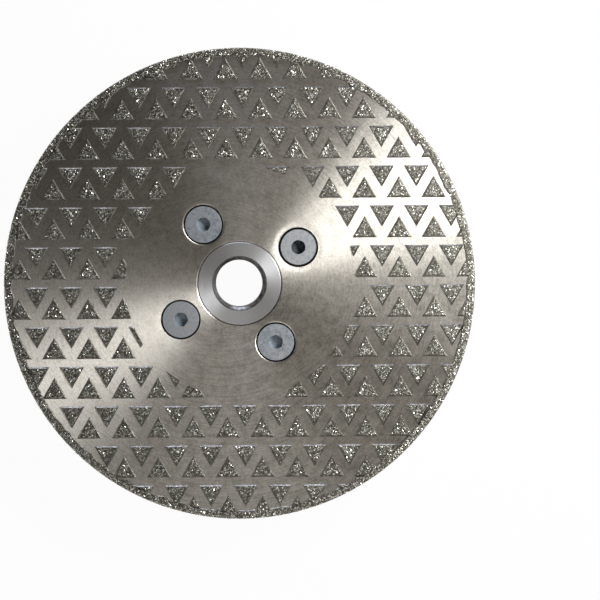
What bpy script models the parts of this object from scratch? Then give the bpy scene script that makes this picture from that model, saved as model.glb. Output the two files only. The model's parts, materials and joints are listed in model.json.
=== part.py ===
"""Diamond grinding wheel, 125 mm, with a screwed-on flange for an M14 x 2 grinder spindle.

Metres, +Z up. The wheel's axis is Z and its grinding face looks up. The origin is the
middle of the barrel's lower end, where the spindle's shoulder seats.

From the spindle side to the grinding face:
  flange_hub        turned aluminium: barrel, round plate, and a boss that centres the blank
  disc_blank        steel disc with raised triangles of diamond plating on both faces
  diamond_rim       plated diamond band that wraps the disc's edge
  flange_screw_1..4 countersunk socket screws that clamp the blank to the plate
"""

import math

import bmesh
import bpy
from mathutils import Matrix, Vector

MM = 0.001

# --- Wheel -------------------------------------------------------------------
WHEEL_DIAMETER = 125.0 * MM
BLANK_THICKNESS = 1.4 * MM  # steel alone, under the plating
CENTRE_HOLE_DIAMETER = 22.23 * MM  # the usual bore of a wheel of this class
COAT_HEIGHT = 0.5 * MM  # diamond plating above the steel, and beyond its edge
COAT_DRAFT = 0.25 * MM  # run-in of the plating's sloped sides over its height
RIM_BAND = 2.5 * MM  # width of the unbroken band along the edge
RIM_ROUNDING = 0.9 * MM
BARE_DIAMETER = 61.2 * MM  # steel left unplated round the hub

# --- Triangles of plating ----------------------------------------------------
TRIANGLE_SIDE = 6.1 * MM
CORNER_GAP = 3.04 * MM  # between the corners of neighbours in a row
NEST_OFFSET = 2.9 * MM  # how far the upright triangles start below the hanging ones
ROW_LANE = 2.33 * MM  # bare lane between two rows
PATTERN_SHIFT_X = 1.2 * MM  # a hanging triangle's middle, from the wheel's axis
PATTERN_SHIFT_Y = -0.68 * MM  # the middle row's upper edge, from the wheel's axis
SMALLEST_CORNER = 0.6 * MM  # a triangle that reaches less than this into the plated ring is left out

# --- Thread and flange -------------------------------------------------------
THREAD_DIAMETER = 14.0 * MM
THREAD_DEPTH = 0.9 * MM  # the cylindrical bore stands at the thread's inner diameter
MOUTH_RELIEF = 0.25 * MM  # both mouths are chamfered to just over the thread
SEAT_WIDTH = 0.85 * MM  # flat ring at the barrel's end that meets the spindle's shoulder
BARREL_ROUNDING = 1.9 * MM
BARREL_LENGTH = 10.7 * MM
BARREL_FILLET = 0.5 * MM  # tool radius between barrel and plate
PLATE_THICKNESS = 8.2 * MM
PLATE_CHAMFER = 0.6 * MM
PLATE_MARGIN = 5.75 * MM  # from the screws' circle to the plate's edge
BOSS_CHAMFER = 0.2 * MM
FIT_CLEARANCE = 0.05 * MM

# --- Screws ------------------------------------------------------------------
SCREW_DIAMETER = 5.0 * MM
SCREW_LENGTH = 8.0 * MM
SCREW_POINT = 0.6 * MM
HEAD_DIAMETER = 9.7 * MM
HEAD_LAND = 0.3 * MM  # cylindrical edge above the head's cone
HEAD_RECESS = 0.05 * MM  # the head sits this far below the blank
SOCKET_ACROSS_FLATS = 3.0 * MM
SOCKET_DEPTH = 2.0 * MM
SOCKET_MOUTH = 0.12 * MM  # chamfer outside the hexagon's corners
DRILL_ALLOWANCE = 0.15 * MM  # the socket is drilled this much narrower and deeper than the hexagon
DRILL_POINT_ANGLE = math.radians(118)
HUB_WEB = 1.865 * MM  # steel left between the centre hole and a countersink
FIRST_SCREW_ANGLE = math.radians(31.2)
SOCKET_TURNS = [math.radians(angle) for angle in (8.0, 41.0, 22.0, 53.0)]  # as tightened

# --- Facets ------------------------------------------------------------------
WHEEL_FACETS = 96
HUB_FACETS = 56
SCREW_FACETS = 24
ARC_STEPS = 3
SHARP_ANGLE = math.radians(35)

# --- Worked out from the above -----------------------------------------------
WHEEL_RADIUS = WHEEL_DIAMETER / 2
BARE_RADIUS = BARE_DIAMETER / 2
CENTRE_HOLE_RADIUS = CENTRE_HOLE_DIAMETER / 2
STEEL_RADIUS = WHEEL_RADIUS - COAT_HEIGHT
BAND_RADIUS = WHEEL_RADIUS - RIM_BAND
PLATE_FACE = BARREL_LENGTH + PLATE_THICKNESS  # where the blank lies on the flange
BLANK_BACK = PLATE_FACE + FIT_CLEARANCE
BLANK_FRONT = BLANK_BACK + BLANK_THICKNESS
BLANK_MIDDLE = (BLANK_BACK + BLANK_FRONT) / 2
BORE_RADIUS = THREAD_DIAMETER / 2 - THREAD_DEPTH
MOUTH_RADIUS = THREAD_DIAMETER / 2 + MOUTH_RELIEF
MOUTH_CHAMFER = MOUTH_RADIUS - BORE_RADIUS
BARREL_RADIUS = MOUTH_RADIUS + SEAT_WIDTH + BARREL_ROUNDING
BOSS_RADIUS = CENTRE_HOLE_RADIUS - FIT_CLEARANCE
CONE_CLEARANCE = FIT_CLEARANCE * math.sqrt(2)  # sideways, on a 45 degree cone
SINK_RADIUS = HEAD_DIAMETER / 2 + HEAD_LAND + HEAD_RECESS + CONE_CLEARANCE
SCREW_CIRCLE_RADIUS = CENTRE_HOLE_RADIUS + HUB_WEB + SINK_RADIUS
PLATE_RADIUS = SCREW_CIRCLE_RADIUS + PLATE_MARGIN
HEAD_TOP = BLANK_FRONT - HEAD_RECESS
OVERRUN = 1.0 * MM  # a cutter runs past the face that it cuts
CUT_OVERRUN = COAT_HEIGHT + OVERRUN


# --- Helpers -----------------------------------------------------------------
def clear_scene():
    """Removes every object, so that the model starts from nothing."""
    for old in list(bpy.data.objects):
        bpy.data.objects.remove(old, do_unlink=True)


def new_collection(name):
    collection = bpy.data.collections.new(name)
    bpy.context.scene.collection.children.link(collection)
    return collection


def new_material(name, colour, roughness, metallic):
    material = bpy.data.materials.new(name)
    material.use_nodes = True
    shader = material.node_tree.nodes["Principled BSDF"]
    shader.inputs["Base Color"].default_value = (*colour, 1.0)
    shader.inputs["Roughness"].default_value = roughness
    shader.inputs["Metallic"].default_value = metallic
    material.diffuse_color = (*colour, 1.0)
    return material


def new_object(name, mesh, collection, material=None):
    made = bpy.data.objects.new(name, mesh)
    collection.objects.link(made)
    if material:
        mesh.materials.append(material)
    return made


def finished_mesh(name, shape):
    """Turns a bmesh into a mesh and frees it."""
    mesh = bpy.data.meshes.new(name)
    shape.to_mesh(mesh)
    shape.free()
    return mesh


def make_cutter(made):
    """Hides a helper, so that it only shapes other objects."""
    made.hide_render = True
    made.display_type = "WIRE"
    return made


def arc(centre_r, centre_z, radius, start, end):
    """Points (r, z) on a round corner, from one angle in degrees to another."""
    points = []
    for step in range(ARC_STEPS + 1):
        angle = math.radians(start + (end - start) * step / ARC_STEPS)
        points.append((centre_r + radius * math.cos(angle), centre_z + radius * math.sin(angle)))
    return points


def turned(name, profile, facets, collection, material=None, closed=True):
    """A body turned from a profile of (r, z) points that runs down its outer side.

    A closed profile makes a ring. An open one starts and ends on the axis. The turned
    faces are shaded round, with the profile's corners left sharp.
    """
    last = len(profile) if closed else len(profile) - 1
    edges = [(index, (index + 1) % len(profile)) for index in range(last)]
    outline = bpy.data.meshes.new(f"{name}_profile")
    outline.from_pydata([(r, 0.0, z) for r, z in profile], edges, [])
    made = new_object(name, outline, collection)
    turn = made.modifiers.new("Turn", "SCREW")
    turn.axis = "Z"
    turn.angle = math.tau
    turn.steps = facets
    turn.render_steps = facets
    turn.use_merge_vertices = True
    turn.merge_threshold = 1e-6
    graph = bpy.context.evaluated_depsgraph_get()
    mesh = bpy.data.meshes.new_from_object(made.evaluated_get(graph))
    mesh.name = name
    mesh.shade_smooth()
    mesh.set_sharp_from_angle(angle=SHARP_ANGLE)
    made.modifiers.clear()
    made.data = mesh
    bpy.data.meshes.remove(outline)
    if material:
        mesh.materials.append(material)
    return made


def boolean(made, other, operation):
    modifier = made.modifiers.new(f"{operation.title()} {other.name}", "BOOLEAN")
    modifier.object = other
    modifier.operation = operation
    modifier.solver = "EXACT"


def screw_places():
    """The screws' positions: evenly spaced on their circle."""
    places = []
    for index in range(len(SOCKET_TURNS)):
        angle = FIRST_SCREW_ANGLE + math.tau * index / len(SOCKET_TURNS)
        across = Vector((math.cos(angle), math.sin(angle), 0.0))
        places.append(across * SCREW_CIRCLE_RADIUS)
    return places


# --- Cutters -----------------------------------------------------------------
def screw_hole_cutter(name, place, cutters):
    """One countersink with the clearance hole below it, through blank and plate."""
    hole_radius = SCREW_DIAMETER / 2 + FIT_CLEARANCE
    cone_bottom = BLANK_FRONT - (SINK_RADIUS - hole_radius)
    profile = [
        (0.0, BLANK_FRONT + OVERRUN),
        (SINK_RADIUS + OVERRUN, BLANK_FRONT + OVERRUN),
        (hole_radius, cone_bottom),
        (hole_radius, BARREL_LENGTH - OVERRUN),
        (0.0, BARREL_LENGTH - OVERRUN),
    ]
    cutter = turned(name, profile, SCREW_FACETS, cutters, closed=False)
    cutter.location = place
    return make_cutter(cutter)


def centre_hole_cutter(cutters):
    profile = [
        (0.0, BLANK_FRONT + CUT_OVERRUN),
        (CENTRE_HOLE_RADIUS, BLANK_FRONT + CUT_OVERRUN),
        (CENTRE_HOLE_RADIUS, BLANK_BACK - CUT_OVERRUN),
        (0.0, BLANK_BACK - CUT_OVERRUN),
    ]
    return make_cutter(turned("centre_hole_cutter", profile, HUB_FACETS, cutters, closed=False))


def plated_ring(cutters):
    """The ring that triangles are kept in: from the bare middle to the rim's band."""
    outer = BAND_RADIUS - FIT_CLEARANCE
    top = BLANK_FRONT + CUT_OVERRUN
    bottom = BLANK_BACK - CUT_OVERRUN
    profile = [(BARE_RADIUS, top), (outer, top), (outer, bottom), (BARE_RADIUS, bottom)]
    return make_cutter(turned("plated_ring", profile, WHEEL_FACETS, cutters))


# --- Disc blank --------------------------------------------------------------
def triangle_places():
    """(x, y, upright) for each triangle that reaches into the plated ring.

    A row is a line of hanging triangles with upright ones nested between them.
    """
    height = TRIANGLE_SIDE * math.sqrt(3) / 2
    column_pitch = TRIANGLE_SIDE + CORNER_GAP
    row_pitch = NEST_OFFSET + height + ROW_LANE
    rows = math.ceil(WHEEL_RADIUS / row_pitch) + 1
    columns = math.ceil(WHEEL_RADIUS / column_pitch) + 1
    places = []
    for row in range(-rows, rows + 1):
        top = PATTERN_SHIFT_Y + row * row_pitch
        for column in range(-columns, columns + 1):
            x = PATTERN_SHIFT_X + column * column_pitch
            places.append((x, top - height / 3, False))
            places.append((x + column_pitch / 2, top - NEST_OFFSET - height * 2 / 3, True))
    return [place for place in places if reaches_ring(*place)]


def triangle_corners(x, y, upright):
    """The corners of one triangle about its middle."""
    corner_radius = TRIANGLE_SIDE / math.sqrt(3)
    first = math.pi / 2 if upright else -math.pi / 2
    turns = [first + math.tau * index / 3 for index in range(3)]
    return [Vector((x + corner_radius * math.cos(t), y + corner_radius * math.sin(t))) for t in turns]


def reaches_ring(x, y, upright):
    """True where enough of the triangle lies in the plated ring to be worth plating."""
    distances = [corner.length for corner in triangle_corners(x, y, upright)]
    clears_middle = max(distances) > BARE_RADIUS + SMALLEST_CORNER
    clears_band = min(distances) < BAND_RADIUS - SMALLEST_CORNER
    return clears_middle and clears_band


def plated_triangles(cutters):
    """All triangles of both faces: three-sided frustums whose roots lie inside the steel."""
    shape = bmesh.new()
    root = BLANK_THICKNESS / 4
    base_radius = TRIANGLE_SIDE / math.sqrt(3)
    slope = 2 * COAT_DRAFT / COAT_HEIGHT  # a triangle's corners run in twice as fast as its sides
    face_height = BLANK_THICKNESS / 2
    for x, y, upright in triangle_places():
        turn = Matrix.Rotation(0.0 if upright else math.pi, 4, "Z")
        for side in (0.0, math.pi):
            made = bmesh.ops.create_cone(
                shape,
                cap_ends=True,
                segments=3,
                radius1=base_radius + slope * root,
                radius2=base_radius - slope * COAT_HEIGHT,
                depth=root + COAT_HEIGHT,
                matrix=Matrix.Translation((0.0, 0.0, face_height + (COAT_HEIGHT - root) / 2)),
            )
            flip = Matrix.Rotation(side, 4, "Y")
            place = Matrix.Translation((x, y, BLANK_MIDDLE)) @ flip @ turn
            bmesh.ops.transform(shape, matrix=place, verts=made["verts"])
    mesh = finished_mesh("plated_triangles", shape)
    return make_cutter(new_object("plated_triangles", mesh, cutters))


def make_disc_blank(model, cutters, screw_holes):
    """The steel disc, raised triangles on both faces, centre hole and countersinks."""
    material = new_material("nickel plated steel", (0.42, 0.40, 0.37), 0.32, 1.0)
    shape = bmesh.new()
    bmesh.ops.create_cone(
        shape,
        cap_ends=True,
        segments=WHEEL_FACETS,
        radius1=STEEL_RADIUS,
        radius2=STEEL_RADIUS,
        depth=BLANK_THICKNESS,
        matrix=Matrix.Translation((0.0, 0.0, BLANK_MIDDLE)),
    )
    blank = new_object("disc_blank", finished_mesh("disc_blank", shape), model, material)
    triangles = plated_triangles(cutters)
    boolean(triangles, plated_ring(cutters), "INTERSECT")
    boolean(blank, triangles, "UNION")
    boolean(blank, centre_hole_cutter(cutters), "DIFFERENCE")
    for hole in screw_holes:
        boolean(blank, hole, "DIFFERENCE")


# --- Rim ---------------------------------------------------------------------
def make_diamond_rim(model):
    """A U-shaped band: plating on both faces and over the steel's edge."""
    material = new_material("diamond grit in nickel", (0.16, 0.155, 0.135), 0.7, 0.8)
    outer_top = BLANK_FRONT + COAT_HEIGHT
    outer_bottom = BLANK_BACK - COAT_HEIGHT
    groove_top = BLANK_FRONT + FIT_CLEARANCE
    groove_bottom = BLANK_BACK - FIT_CLEARANCE
    groove_radius = STEEL_RADIUS + FIT_CLEARANCE
    corner = WHEEL_RADIUS - RIM_ROUNDING
    profile = [(BAND_RADIUS + COAT_DRAFT, outer_top)]
    profile += arc(corner, outer_top - RIM_ROUNDING, RIM_ROUNDING, 90, 0)
    profile += arc(corner, outer_bottom + RIM_ROUNDING, RIM_ROUNDING, 0, -90)
    profile += [
        (BAND_RADIUS + COAT_DRAFT, outer_bottom),
        (BAND_RADIUS, groove_bottom),
        (groove_radius, groove_bottom),
        (groove_radius, groove_top),
        (BAND_RADIUS, groove_top),
    ]
    turned("diamond_rim", profile, WHEEL_FACETS, model, material)


# --- Flange ------------------------------------------------------------------
def make_flange_hub(model, screw_holes):
    """Barrel, plate and boss, turned in one piece and bored through for the thread."""
    material = new_material("turned aluminium", (0.56, 0.57, 0.59), 0.3, 1.0)
    rounding = BARREL_RADIUS - BARREL_ROUNDING
    profile = [
        (MOUTH_RADIUS, BLANK_FRONT),
        (BOSS_RADIUS - BOSS_CHAMFER, BLANK_FRONT),
        (BOSS_RADIUS, BLANK_FRONT - BOSS_CHAMFER),
        (BOSS_RADIUS, PLATE_FACE),
        (PLATE_RADIUS, PLATE_FACE),
        (PLATE_RADIUS, BARREL_LENGTH + PLATE_CHAMFER),
        (PLATE_RADIUS - PLATE_CHAMFER, BARREL_LENGTH),
    ]
    fillet_r = BARREL_RADIUS + BARREL_FILLET
    profile += arc(fillet_r, BARREL_LENGTH - BARREL_FILLET, BARREL_FILLET, 90, 180)
    profile += arc(rounding, BARREL_ROUNDING, BARREL_ROUNDING, 0, -90)
    profile += [
        (MOUTH_RADIUS, 0.0),
        (BORE_RADIUS, MOUTH_CHAMFER),
        (BORE_RADIUS, BLANK_FRONT - MOUTH_CHAMFER),
    ]
    hub = turned("flange_hub", profile, HUB_FACETS, model, material)
    for hole in screw_holes:
        boolean(hub, hole, "DIFFERENCE")


# --- Screws ------------------------------------------------------------------
def socket_cutter(name, place, turn, cutters):
    """The hexagon that a key drives, broached into the drilled recess."""
    corner_radius = SOCKET_ACROSS_FLATS / math.sqrt(3)
    shape = bmesh.new()
    bmesh.ops.create_cone(
        shape,
        cap_ends=True,
        segments=6,
        radius1=corner_radius,
        radius2=corner_radius,
        depth=SOCKET_DEPTH + OVERRUN,
        matrix=Matrix.Translation((0.0, 0.0, (OVERRUN - SOCKET_DEPTH) / 2)),
    )
    cutter = new_object(name, finished_mesh(name, shape), cutters)
    cutter.location = place + Vector((0.0, 0.0, HEAD_TOP))
    cutter.rotation_euler.z = turn
    return make_cutter(cutter)


def make_flange_screw(number, place, turn, material, model, cutters):
    """A countersunk screw. The thread stands as a plain shank of its full diameter."""
    head_radius = HEAD_DIAMETER / 2
    shank_radius = SCREW_DIAMETER / 2
    cone_top = HEAD_TOP - HEAD_LAND
    tip = HEAD_TOP - SCREW_LENGTH
    mouth_radius = SOCKET_ACROSS_FLATS / math.sqrt(3) + SOCKET_MOUTH
    drill_radius = SOCKET_ACROSS_FLATS / 2 - DRILL_ALLOWANCE
    drill_floor = HEAD_TOP - SOCKET_DEPTH - DRILL_ALLOWANCE
    drill_slope = 1 / math.tan(DRILL_POINT_ANGLE / 2)
    profile = [
        (0.0, drill_floor - drill_radius * drill_slope),
        (drill_radius, drill_floor),
        (drill_radius, HEAD_TOP - (mouth_radius - drill_radius) * drill_slope),
        (mouth_radius, HEAD_TOP),
        (head_radius, HEAD_TOP),
        (head_radius, cone_top),
        (shank_radius, cone_top - (head_radius - shank_radius)),
        (shank_radius, tip + SCREW_POINT),
        (shank_radius - SCREW_POINT, tip),
        (0.0, tip),
    ]
    name = f"flange_screw_{number}"
    screw = turned(name, profile, SCREW_FACETS, model, material, closed=False)
    screw.location = place
    boolean(screw, socket_cutter(f"{name}_socket", place, turn, cutters), "DIFFERENCE")


def main():
    clear_scene()
    model = new_collection("diamond_grinding_wheel")
    cutters = new_collection("cutters")
    places = screw_places()
    screw_holes = []
    for number, place in enumerate(places, start=1):
        screw_holes.append(screw_hole_cutter(f"screw_hole_{number}", place, cutters))
    make_flange_hub(model, screw_holes)
    make_disc_blank(model, cutters, screw_holes)
    make_diamond_rim(model)
    zinc = new_material("zinc plated steel", (0.50, 0.53, 0.57), 0.35, 1.0)
    for number, (place, turn) in enumerate(zip(places, SOCKET_TURNS), start=1):
        make_flange_screw(number, place, turn, zinc, model, cutters)


main()
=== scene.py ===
"""Looks of the diamond grinding wheel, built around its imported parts.

Metres, +Z up. The wheel's axis is Z, the barrel's end stands on the floor at z = 0 and the
grinding face looks up. Each class below makes the shown pieces of one part:

  Flange        turned aluminium hub with its spindle thread and four tapped holes
  FlangeScrew   zinc-plated countersunk socket screws
  Blank         steel disc, ground in circles, with countersinks
  PlatedPads    raised triangles of nickel, laid out in rows on both faces
  RimBand       nickel band that wraps the disc's edge
  DiamondGrit   the grains that stand in the nickel of pads and band
  Studio        floor, lamps, world and camera
"""

import json
import logging
import math
from collections.abc import Callable, Sequence
from dataclasses import dataclass
from enum import Enum
from itertools import pairwise

import bmesh
import bpy
import numpy as np
from bmesh.types import BMesh
from bpy.types import Collection, Material, Mesh, Node, NodeSocket, NodeTree, Object
from mathutils import Matrix, Vector, noise

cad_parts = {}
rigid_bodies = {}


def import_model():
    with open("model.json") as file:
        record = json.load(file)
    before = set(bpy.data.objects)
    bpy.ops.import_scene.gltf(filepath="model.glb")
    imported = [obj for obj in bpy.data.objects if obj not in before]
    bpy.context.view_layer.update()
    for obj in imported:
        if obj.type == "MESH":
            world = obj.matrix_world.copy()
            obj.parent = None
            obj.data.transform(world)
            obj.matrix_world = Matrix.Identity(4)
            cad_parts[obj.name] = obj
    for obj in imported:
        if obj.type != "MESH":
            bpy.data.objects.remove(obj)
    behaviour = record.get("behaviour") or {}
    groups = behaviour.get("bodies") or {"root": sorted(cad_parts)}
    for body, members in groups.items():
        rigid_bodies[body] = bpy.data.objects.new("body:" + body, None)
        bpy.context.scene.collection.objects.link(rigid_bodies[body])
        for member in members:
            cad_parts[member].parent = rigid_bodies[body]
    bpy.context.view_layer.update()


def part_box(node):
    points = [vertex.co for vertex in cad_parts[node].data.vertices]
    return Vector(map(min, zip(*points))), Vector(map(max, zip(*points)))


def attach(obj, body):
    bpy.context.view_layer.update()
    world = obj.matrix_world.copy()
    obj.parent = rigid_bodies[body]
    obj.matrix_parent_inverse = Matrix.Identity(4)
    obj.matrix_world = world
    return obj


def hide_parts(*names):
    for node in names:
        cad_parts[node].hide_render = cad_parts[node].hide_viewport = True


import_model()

log = logging.getLogger("grinding_wheel")

MM = 0.001
WELD = 1e-7
LEVEL = 0.99999  # a normal's Z past which its face counts as level
SHARP_ANGLE = math.radians(35.0)  # past this an edge stays sharp
OVER = 1.0 * MM  # how far a cutter stands past what it cuts
WHEEL_BODY = "root"
PAD_SEED = 3  # of the front's grains. The back's is the next one
RIM_SEED = 7

Profile = list[tuple[float, float]]
RadiusAt = Callable[[float, float], float]
Inputs = dict[str, object]


class Slot(Enum):
    """The record's material slots."""

    ALUMINIUM = "turned_aluminium"
    STEEL = "plated_steel"
    DIAMOND = "diamond_coat"
    ZINC = "zinc_steel"


class Face(Enum):
    """The wheel's two plated faces, by the way that each looks along Z."""

    FRONT = 1
    BACK = -1


class Half(Enum):
    """The halves of the coat. Each half's grains are a piece of their own."""

    LEFT = 1
    RIGHT = 2


# --- Mesh helpers ------------------------------------------------------------
def rounded(corners: Sequence[tuple[float, float, float]], steps: int = 4) -> Profile:
    """Rounds the inner corners of an open outline.

    Args:
        corners: (r, z, radius) of each corner. The radius of the two ends isn't used.
        steps: straight pieces in each rounding.

    Returns:
        The outline as (r, z) points.
    """
    points = [corners[0][:2]]
    for before, corner, after in zip(corners, corners[1:], corners[2:]):
        middle = Vector(corner[:2])
        if corner[2] == 0.0:
            points.append(tuple(middle))
            continue
        back = (Vector(before[:2]) - middle).normalized()
        ahead = (Vector(after[:2]) - middle).normalized()
        half = back.angle(ahead) / 2
        start = middle + back * corner[2] / math.tan(half)
        end = middle + ahead * corner[2] / math.tan(half)
        centre = middle + (back + ahead).normalized() * corner[2] / math.sin(half)
        for step in range(steps + 1):
            towards = (start - centre).slerp(end - centre, step / steps)
            points.append(tuple(centre + towards * corner[2]))
    points.append(corners[-1][:2])
    return points


def add_turned(shape: BMesh, profile: Profile, facets: int) -> None:
    """Adds the surface that an open profile sweeps round the Z axis.

    Args:
        shape: the shape to add to.
        profile: (r, z) points. One on the axis becomes a pole.
        facets: straight pieces in a full turn.
    """
    rings = []
    for r, z in profile:
        turns = [math.tau * index / facets for index in range(facets)] if r > WELD else [0.0]
        rings.append([shape.verts.new((r * math.cos(t), r * math.sin(t), z)) for t in turns])
    for lower, upper in pairwise(rings):
        for index in range(facets):
            after = (index + 1) % facets
            around = (lower[index % len(lower)], lower[after % len(lower)])
            around += (upper[after % len(upper)], upper[index % len(upper)])
            shape.faces.new(list(dict.fromkeys(around)))


def shade(mesh: Mesh) -> None:
    """Shades a mesh's curved faces smooth and its level ones flat.

    Args:
        mesh: the mesh.
    """
    mesh.shade_smooth()
    mesh.set_sharp_from_angle(angle=SHARP_ANGLE)
    for polygon in mesh.polygons:
        if abs(polygon.normal.z) > LEVEL:
            polygon.use_smooth = False


def new_object(name: str, mesh: Mesh) -> Object:
    """Makes an object at the origin and links it to the scene.

    Args:
        name: the object's name.
        mesh: its mesh, in place.

    Returns:
        The object.
    """
    made = bpy.data.objects.new(name, mesh)
    bpy.context.scene.collection.objects.link(made)
    return made


def new_solid(name: str, shape: BMesh) -> Object:
    """Makes an object of a closed shape: welded, facing outwards and shaded.

    Args:
        name: the object's name.
        shape: the shape, which is freed.

    Returns:
        The object.
    """
    bmesh.ops.remove_doubles(shape, verts=shape.verts, dist=WELD)
    bmesh.ops.recalc_face_normals(shape, faces=shape.faces)
    mesh = bpy.data.meshes.new(name)
    shape.to_mesh(mesh)
    shape.free()
    shade(mesh)
    return new_object(name, mesh)


def bake_modifiers(made: Object) -> None:
    """Replaces an object's mesh by what its modifiers make of it, and removes them.

    Args:
        made: the object.
    """
    old = made.data
    graph = bpy.context.evaluated_depsgraph_get()
    mesh = bpy.data.meshes.new_from_object(
        made.evaluated_get(graph), preserve_all_data_layers=True, depsgraph=graph
    )
    made.modifiers.clear()
    made.data = mesh
    mesh.name = made.name
    bpy.data.meshes.remove(old)


def carve(made: Object, cutters: Sequence[Object]) -> None:
    """Cuts solids out of a piece.

    Args:
        made: the piece.
        cutters: the solids, which are removed afterwards.
    """
    for cutter in cutters:
        cut = made.modifiers.new(f"Cut {cutter.name}", "BOOLEAN")
        cut.object = cutter
        cut.operation = "DIFFERENCE"
        cut.solver = "EXACT"
    bake_modifiers(made)
    for cutter in cutters:
        bpy.data.objects.remove(cutter, do_unlink=True)
    shade(made.data)


def show_piece(made: Object, node: str) -> None:
    """Hands a finished piece to the frame.

    Args:
        made: the piece, in place.
        node: the CAD node that it stands for.
    """
    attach(made, WHEEL_BODY)
    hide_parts(node)
    made.data.calc_loop_triangles()
    log.info("%s: %d triangles", made.name, len(made.data.loop_triangles))


# --- Threads -----------------------------------------------------------------
@dataclass(frozen=True)
class Thread:
    """A metric thread, cut as a helical surface round the Z axis.

    Rows of points follow the helix, so that crests and roots are true edges.
    """

    pitch: float
    crest_radius: float  # where the cylinder stands
    root_radius: float  # where the groove's floor lies
    facets: int
    first_facet: int = 0  # how far round the axis the helix starts

    # The thread is cut level this far inside each end, and meets the end's own ring there.
    END_STEP = 0.02 * MM
    # Shares of a pitch, from the start of the crest. The crest is flat for a quarter of the
    # pitch and the root for an eighth.
    CREST_END, ROOT_START, ROOT_END = 0.25, 0.5625, 0.6875
    # Where each row of points stands.
    STATIONS = (0.0, CREST_END / 2, CREST_END, 0.40, ROOT_START, 0.625, ROOT_END, 0.85)

    def radius_at_phase(self, phase: float) -> float:
        """The thread's radius, by how many pitches a place is past the start of a crest."""
        depth = np.interp(phase % 1.0, (self.CREST_END, self.ROOT_START, self.ROOT_END, 1.0), (0, 1, 1, 0))
        return self.crest_radius + (self.root_radius - self.crest_radius) * depth

    def add_to(self, shape: BMesh, bottom: float, top: float, radius_at: RadiusAt) -> None:
        """Adds the threaded surface between two heights.

        Args:
            shape: the shape to add to. Its own ends weld to the thread's.
            bottom: height of the lower end.
            top: height of the upper end.
            radius_at: gives the radius from the thread's own and the height. At both ends
                it gives one radius all round.
        """
        turns = math.ceil((top - bottom) / self.pitch) + 1
        stations = [turn + share for turn in range(-1, turns) for share in self.STATIONS]
        lowest, highest = bottom + self.END_STEP, top - self.END_STEP
        columns = []
        for index in range(self.facets + 1):
            share = index / self.facets
            angle = math.tau * ((index + self.first_facet) % self.facets) / self.facets
            heights = [bottom + (station + share) * self.pitch for station in stations]
            column = []
            for z in (bottom, *(min(max(height, lowest), highest) for height in heights), top):
                r = radius_at(self.radius_at_phase((z - bottom) / self.pitch - share), z)
                column.append(shape.verts.new((r * math.cos(angle), r * math.sin(angle), z)))
            columns.append(column)
        for left, right in pairwise(columns):
            for (a, b), (d, c) in zip(pairwise(left), pairwise(right)):
                shape.faces.new((a, d, c, b))


# --- Node trees --------------------------------------------------------------
def linear(hex_colour: str) -> tuple[float, float, float, float]:
    """Turns an sRGB hex colour to linear RGBA.

    Args:
        hex_colour: six hex digits, such as "C0BBB0".

    Returns:
        The linear colour, opaque.
    """
    channels = [int(hex_colour[start : start + 2], 16) / 255 for start in (0, 2, 4)]
    straight = [c / 12.92 if c <= 0.04045 else ((c + 0.055) / 1.055) ** 2.4 for c in channels]
    return (*straight, 1.0)


def add_node(tree: NodeTree, kind: str, inputs: Inputs | None = None, **settings: object) -> Node:
    """Adds a node with its settings, links and constants.

    Args:
        tree: the tree to add to.
        kind: the node's type.
        inputs: by the input's identifier, the output that it is linked to, or its constant.
        settings: the node's properties.

    Returns:
        The node.
    """
    node = tree.nodes.new(kind)
    for name, value in settings.items():
        setattr(node, name, value)
    sockets = {socket.identifier: socket for socket in node.inputs}
    for name, value in (inputs or {}).items():
        if isinstance(value, NodeSocket):
            tree.links.new(value, sockets[name])
        else:
            sockets[name].default_value = value
    return node


def result(node: Node, identifier: str) -> NodeSocket:
    """A node's output by its identifier, where several outputs share a name."""
    return next(socket for socket in node.outputs if socket.identifier == identifier)


def new_material(name: str) -> tuple[Material, NodeTree]:
    """Makes a material with an empty node tree.

    Args:
        name: the material's name.

    Returns:
        The material and its tree.
    """
    material = bpy.data.materials.new(name)
    material.use_nodes = True
    material.node_tree.nodes.clear()
    return material, material.node_tree


def turned_coordinates(
    tree: NodeTree, line_width: float, wander: float
) -> tuple[NodeSocket, NodeSocket, NodeSocket]:
    """Works out where a point lies on a face that was turned or ground in circles.

    Args:
        tree: the material's tree.
        line_width: width of one tool line.
        wander: how many line widths the lines stray round one turn.

    Returns:
        The place itself, a vector whose noise runs in rings, and the direction across
        the tool lines.
    """
    vector = "ShaderNodeVectorMath"
    place = add_node(tree, "ShaderNodeTexCoord").outputs["Object"]
    level = {"Vector": place, "Vector_001": (1.0, 1.0, 0.0)}
    flat = {"Vector": add_node(tree, vector, level, operation="MULTIPLY").outputs[0]}
    radius = add_node(tree, vector, flat, operation="LENGTH").outputs["Value"]
    outward = add_node(tree, vector, flat, operation="NORMALIZE").outputs[0]
    height = add_node(tree, "ShaderNodeSeparateXYZ", {"Vector": place}).outputs["Z"]
    across = add_node(tree, "ShaderNodeCombineXYZ", {"X": radius, "Y": height}).outputs[0]
    scaled = {"Vector": across, "Scale": 1.0 / line_width}
    rings = add_node(tree, vector, scaled, operation="SCALE").outputs[0]
    strays = {"Vector": outward, "Vector_001": (wander, wander, wander), "Vector_002": rings}
    strayed = add_node(tree, vector, strays, operation="MULTIPLY_ADD").outputs[0]
    axis = {"Vector": (0.0, 0.0, 1.0), "Vector_001": outward}
    along = add_node(tree, vector, axis, operation="CROSS_PRODUCT").outputs[0]
    normal = add_node(tree, "ShaderNodeNewGeometry").outputs["Normal"]
    tangent = {"Vector": along, "Vector_001": normal}
    sideways = add_node(tree, vector, tangent, operation="CROSS_PRODUCT").outputs[0]
    return place, strayed, sideways


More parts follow.
